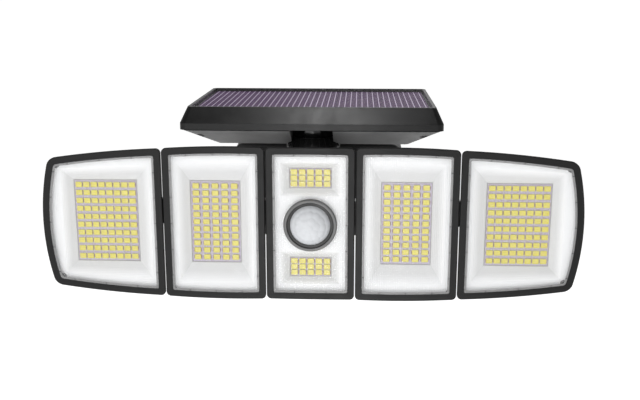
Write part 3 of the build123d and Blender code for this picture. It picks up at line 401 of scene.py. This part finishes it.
def ring_xz(x, z, half_x, half_z, y, cut=0.0):
    """Four corners, or eight if they are cut, of an upright rectangle that faces forwards."""
    if not cut:
        return [(x - half_x, y, z - half_z), (x + half_x, y, z - half_z),
                (x + half_x, y, z + half_z), (x - half_x, y, z + half_z)]
    return [(x - half_x + cut, y, z - half_z), (x + half_x - cut, y, z - half_z),
            (x + half_x, y, z - half_z + cut), (x + half_x, y, z + half_z - cut),
            (x + half_x - cut, y, z + half_z), (x - half_x + cut, y, z + half_z),
            (x - half_x, y, z + half_z - cut), (x - half_x, y, z - half_z + cut)]


def ring_xy(x, y, half_x, half_y, z):
    """Four corners of a level rectangle."""
    return [(x - half_x, y - half_y, z), (x + half_x, y - half_y, z),
            (x + half_x, y + half_y, z), (x - half_x, y + half_y, z)]


LED_WIDTH, LED_HEIGHT = 4.2 * MM, 3.5 * MM
# the tones of the LED pieces; the last is a painted shadow line round each window
BODY, PHOSPHOR, SOLDER, WINDOW_SHADOW = range(4)
FILLET_REACH, FILLET_RISE = 0.5 * MM, 0.28 * MM


def add_led(build, x, z, face_y, board_y, gap):
    """A packaged LED: a bevelled body, a rim, the sunk phosphor and a solder fillet at each end."""
    half_x, half_z = LED_WIDTH / 2, LED_HEIGHT / 2
    # each level's inset from the outline, place along Y and corner cut
    levels = [(0.0, board_y, 0.25 * MM), (0.0, face_y + 0.18 * MM, 0.25 * MM),
              (0.14 * MM, face_y, 0.3 * MM), (0.34 * MM, face_y, 0.35 * MM),
              (0.48 * MM, face_y + 0.14 * MM, 0.4 * MM)]
    loops = [build.loop(ring_xz(x, z, half_x - inset, half_z - inset, y, cut)) for inset, y, cut in levels]
    build.face(list(reversed(loops[0])), BODY)
    for level, (outer, inner) in enumerate(zip(loops, loops[1:])):
        build.bridge(outer, inner, PHOSPHOR if level >= 2 else BODY)
    build.face(loops[-1], PHOSPHOR)
    reach = min(FILLET_REACH, gap * 0.42)
    low = board_y - 0.04 * MM
    for side in (-1, 1):
        near, far = x + side * half_x, x + side * (half_x + reach)
        centre = (near + far) / 2
        # the fillet climbs the body's end and runs out on the board
        bottom = build.loop(ring_xz(centre, z, reach / 2, 1.15 * MM, board_y - 0.005 * MM))
        top = build.loop([(px, low - (FILLET_RISE if abs(px - near) < 1e-7 else 0.0), pz)
                          for px, _, pz in ring_xz(centre, z, reach / 2, 1.0 * MM, low)])
        build.face(list(reversed(bottom)), SOLDER)
        build.bridge(bottom, top, SOLDER)
        build.face(top, SOLDER)


def led_body():
    """The package's yellowish rim."""
    made = Surface("led_body", rgb(200, 188, 40), 0.32)
    made.mottle(0.05, 2.0)
    made.uneven_gloss(0.25, 0.4, 1.5)
    return made.material


def led_phosphor():
    """Phosphor in silicone: warm yellow, grainy and a little deeper in patches."""
    made = Surface("led_phosphor", rgb(208, 195, 15), 0.3)
    patches = made.between(made.noise(2.6), 0.0, 1.0)
    made.set("Base Color", made.blend(patches, rgb(212, 202, 18), rgb(205, 188, 12)))
    made.uneven_gloss(0.22, 0.38, 1.0)
    made.grain(0.12, 0.01)
    return made.material


def solder():
    """Dull, reddish solder."""
    made = Surface("solder", rgb(120, 78, 84), 0.4, Metallic=0.25)
    made.mottle(0.18, 1.2)
    made.uneven_gloss(0.25, 0.5, 0.6)
    made.grain(0.3, 0.02)
    return made.material


led_materials = [led_body(), led_phosphor(), solder(),
                 plastic("painted_window_shadow", rgb(150, 142, 146), 0.4, 0.5, 0.4, 0.01)]


def add_window_shadow_line(build, x, z, half_x, half_z, board_y):
    """A painted shadow: a grey line round the board where the reflector's window ends, standing for the shade
    in the gap there.
    """
    width, height = 0.32 * MM, 0.06 * MM
    corners = [(0.0, 0.0), (0.0, height), (width, height), (width, 0.0)]
    loops = [build.loop(ring_xz(x, z, half_x - inset, half_z - inset, board_y - up)) for inset, up in corners]
    for first, second in zip(loops, loops[1:] + loops[:1]):
        build.bridge(first, second, WINDOW_SHADOW)


def led_array(name, node, body, blocks, columns, rows, window):
    """Replaces a node of plain LEDs. Each block is the lowest and highest Z of the LEDs in one window."""
    low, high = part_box(node)
    build = Builder()
    for z_low, z_high in blocks:
        across = (high.x - low.x - LED_WIDTH) / (columns - 1)
        up = (z_high - z_low - LED_HEIGHT) / (rows - 1)
        for column in range(columns):
            for row in range(rows):
                add_led(build, low.x + LED_WIDTH / 2 + column * across, z_low + LED_HEIGHT / 2 + row * up,
                        low.y, high.y, across - LED_WIDTH)
        # a painted shadow line round the window
        add_window_shadow_line(build, (low.x + high.x) / 2, (z_low + z_high) / 2, window[0] / 2, window[1] / 2,
                        high.y)
    piece = build.piece(name, led_materials)
    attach(piece, body)
    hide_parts(node)


CENTRE_ROW_PITCH = 3.854 * MM
CENTRE_WINDOW = (26.9 * MM, 13.0 * MM)
SIDE_WINDOW_HEIGHT = 54.2 * MM
SIDE_HEADS = (("inner", 5, 11, 32.2 * MM), ("outer", 8, 10, 40.8 * MM))  # columns, rows, window's width

# the centre head has three rows of five above the sensor, and three below it
centre_low, centre_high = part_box("centre_leds")
block = 2 * CENTRE_ROW_PITCH + LED_HEIGHT
led_array("centre_led_array", "centre_leds", "wall_mount",
          [(centre_low.z, centre_low.z + block), (centre_high.z - block, centre_high.z)],
          5, 3, CENTRE_WINDOW)
for side in ("right", "left"):
    for head, columns, rows, width in SIDE_HEADS:
        low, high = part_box(f"{side}_{head}_leds")
        led_array(f"{side}_{head}_led_array", f"{side}_{head}_leds", f"{side}_{head}_head",
                  [(low.z, high.z)], columns, rows, (width, SIDE_WINDOW_HEIGHT))


# the sensor's dome: small lenses in rings, pressed into a sphere's cap
def dome_centres(step, edge):
    """Directions of the small lenses, as unit vectors about the dome's axis, in rings a step apart."""
    centres = []
    stagger = 0.26
    ring = 0
    while ring * step < edge + step / 2:
        count = max(6 * ring, 1)
        for i in range(count):
            turn = 2 * pi * i / count + (stagger if ring % 2 else 0.0)
            centres.append((sin(ring * step) * cos(turn), -cos(ring * step), sin(ring * step) * sin(turn)))
        ring += 1
    return centres


def sensor_dome():
    """Replaces the plain dome: a hollow cap of small lenses on a flanged skirt."""
    low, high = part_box("pir_dome")
    rim_r, skin, bulge = 12.8 * MM, 0.8 * MM, 0.34 * MM
    rise, flange = 8.2 * MM, 0.9 * MM
    cap_r = (rim_r**2 + rise**2) / (2 * rise)
    axis_z = (low.z + high.z) / 2
    centre_y = low.y + cap_r
    edge = acos((cap_r - rise) / cap_r)
    # angles, in radians: between rings of lenses, from a lens's middle to its edge, and to fade at the rim
    step = 0.335
    facet_reach, rim_fade = step * 0.58, 0.05
    centres = dome_centres(step, edge)
    turns, rings, inner_rings = 168, 52, 12
    around = [2 * pi * i / turns for i in range(turns)]
    build = Builder()

    def circle(radius, angle, facets):
        """A ring of points at this angle from the cap's axis; facets sink it between the small lenses."""
        points = []
        for turn in around:
            way = (sin(angle) * cos(turn), -cos(angle), sin(angle) * sin(turn))
            reach = radius
            if facets:
                near = max(sum(a * b for a, b in zip(way, centre)) for centre in centres)
                off = acos(min(near, 1.0)) / facet_reach
                fade = min(1.0, (edge - angle) / rim_fade)
                reach -= bulge * min(off * off, 1.0) * max(fade, 0.0)
            points.append((way[0] * reach, centre_y + way[1] * reach, axis_z + way[2] * reach))
        return points

    loops = [build.loop(circle(cap_r, edge * ring / rings, True)) for ring in range(1, rings + 1)]
    flange_y = high.y - flange
    skirt = [(flange_y, rim_r), (flange_y, high.x), (high.y, high.x), (high.y, rim_r - skin)]
    for y, radius in skirt:
        loops.append(build.loop([(radius * cos(turn), y, axis_z + radius * sin(turn)) for turn in around]))
    inner_edge = acos((cap_r - rise) / (cap_r - skin))
    loops += [build.loop(circle(cap_r - skin, inner_edge * ring / inner_rings, False))
              for ring in range(inner_rings, 0, -1)]
    top = build.loop([(0, centre_y - cap_r, axis_z)])[0]
    under = build.loop([(0, centre_y - cap_r + skin, axis_z)])[0]
    for outer, inner in zip(loops, loops[1:]):
        build.bridge(outer, inner, 0)
    for i in range(turns):
        j = (i + 1) % turns
        build.face([top, loops[0][j], loops[0][i]], 0)
        build.face([under, loops[-1][i], loops[-1][j]], 0)
    made = Surface("sensor_dome", rgb(190, 192, 195), 0.34, Specular_IOR_Level=0.4)
    made.mottle(0.03, 3.0)
    made.uneven_gloss(0.28, 0.42, 4.0)
    made.grain(0.35, 0.006)
    piece = build.piece("faceted_dome", [made.material], smooth=True)
    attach(piece, "wall_mount")
    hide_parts("pir_dome")


sensor_dome()


# the solar cells: a backsheet, cut strips of silicon and printed silver lines
def cell_silicon():
    """Purple-grey silicon with faint crystals."""
    made = Surface("cell_silicon", rgb(90, 66, 98), 0.3, Specular_IOR_Level=0.0)
    crystals = made.node("ShaderNodeTexVoronoi", {"Vector": made.place, "Scale": 420.0, "Randomness": 1.0})
    tone = made.node("ShaderNodeSeparateColor", {0: crystals.outputs["Color"]}).outputs[0]
    made.set("Base Color", made.blend(tone, rgb(84, 60, 94), rgb(96, 72, 104)))
    made.uneven_gloss(0.26, 0.38, 8.0)
    made.grain(0.6, 0.004)
    return made.material


def silver_print():
    """The printed lines that gather the current."""
    made = Surface("silver_print", rgb(214, 196, 224), 0.4, Specular_IOR_Level=0.05)
    made.mottle(0.08, 1.5)
    made.uneven_gloss(0.3, 0.45, 1.0)
    return made.material


def backsheet():
    return plastic("backsheet", rgb(50, 42, 54), 0.4, 0.5, 0.8, 0.01, specular=0.0)


def solar_array():
    """Replaces the plain cell sheet: strips side by side, each with its printed lines."""
    low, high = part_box("solar_cells")
    build = Builder()
    sheet, silicon, silver = range(3)

    def slab(x_low, x_high, y_low, y_high, z_low, z_high, tone):
        """A flat block, closed all round."""
        x, y = (x_low + x_high) / 2, (y_low + y_high) / 2
        bottom = build.loop(ring_xy(x, y, (x_high - x_low) / 2, (y_high - y_low) / 2, z_low))
        top = build.loop(ring_xy(x, y, (x_high - x_low) / 2, (y_high - y_low) / 2, z_high))
        build.face(list(reversed(bottom)), tone)
        build.bridge(bottom, top, tone)
        build.face(top, tone)

    sheet_top, cell_top, line_top = high.z - 0.25 * MM, high.z - 0.12 * MM, high.z - 0.04 * MM
    slab(low.x, high.x, low.y, high.y, low.z, sheet_top, sheet)
    border, half_gap, half_line = 0.3 * MM, 0.15 * MM, 0.24 * MM
    strips, lines_each = 10, 4
    near, far = low.y + border, high.y - border
    pitch = (high.x - low.x - 2 * border) / strips
    for strip in range(strips):
        left = low.x + border + strip * pitch
        slab(left + half_gap, left + pitch - half_gap, near, far, sheet_top, cell_top, silicon)
        for line in range(lines_each):
            x = left + pitch * (line + 0.5) / lines_each
            slab(x - half_line, x + half_line, near, far, cell_top, line_top, silver)
    piece = build.piece("cell_array", [backsheet(), cell_silicon(), silver_print()])
    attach(piece, "solar_panel")
    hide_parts("solar_cells")


solar_array()


# small clips that hold each lens, set in its bead all the way round
def lens_clips(node, body, across, down):
    """Clips along a lens's four sides, each where a ray from outside first meets the bead."""
    lens = nodes[node]
    low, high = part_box(node)
    build = Builder()
    outside = 10 * MM
    level = low.y + 0.12 * MM
    width, deep, proud, pocket_shade = 0.5 * MM, 1.35 * MM, 0.08 * MM, 0.2 * MM

    def clip(start, way):
        """One clip, where the ray from this start meets the lens."""
        hit, spot, _, _ = lens.ray_cast(start, way)
        if not hit:
            return
        along = Vector((0, 0, 1)) if abs(way.x) > 0.5 else Vector((1, 0, 0))
        corners = [spot + along * a + way * b for a, b in
                   ((-width / 2, 0), (width / 2, 0), (width / 2, deep), (-width / 2, deep))]
        front = build.loop([(p.x, low.y - proud, p.z) for p in corners])
        back = build.loop([(p.x, low.y + pocket_shade, p.z) for p in corners])
        # on two of the sides the corners run the other way round, so they are turned
        if way.z > 0 or way.x < 0:
            front, back = list(reversed(front)), list(reversed(back))
        build.face(front, 0)
        build.bridge(back, front, 0)
        build.face(list(reversed(back)), 0)

    for i in range(across):
        x = low.x + (high.x - low.x) * (i + 0.75) / (across + 0.5)
        clip(Vector((x, level, high.z + outside)), Vector((0, 0, -1)))
        clip(Vector((x, level, low.z - outside)), Vector((0, 0, 1)))
    for i in range(down):
        z = low.z + (high.z - low.z) * (i + 0.75) / (down + 0.5)
        clip(Vector((low.x - outside, level, z)), Vector((1, 0, 0)))
        clip(Vector((high.x + outside, level, z)), Vector((-1, 0, 0)))
    piece = build.piece(f"{node}_clips", [looks["lens_clips"]])
    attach(piece, body)


lens_clips("centre_lens", "wall_mount", 2, 5)
for side in ("right", "left"):
    lens_clips(f"{side}_inner_lens", f"{side}_inner_head", 3, 5)
    lens_clips(f"{side}_outer_lens", f"{side}_outer_head", 3, 5)


# ---------------------------------------------------------------- floor
def floor():
    """A wide pale floor, lit a little by itself so that it shows evenly."""
    size, height = 60.0, -0.6
    piece = mesh_piece("floor", [(-size, -size, height), (size, -size, height), (size, size, height),
                                 (-size, size, height)], [(0, 1, 2, 3)], [])
    made = Surface("floor", grey(246), 0.8, Emission_Color=(1, 1, 1, 1), Emission_Strength=0.62)
    made.mottle(0.01, 300.0)
    piece.data.materials.append(made.material)


floor()
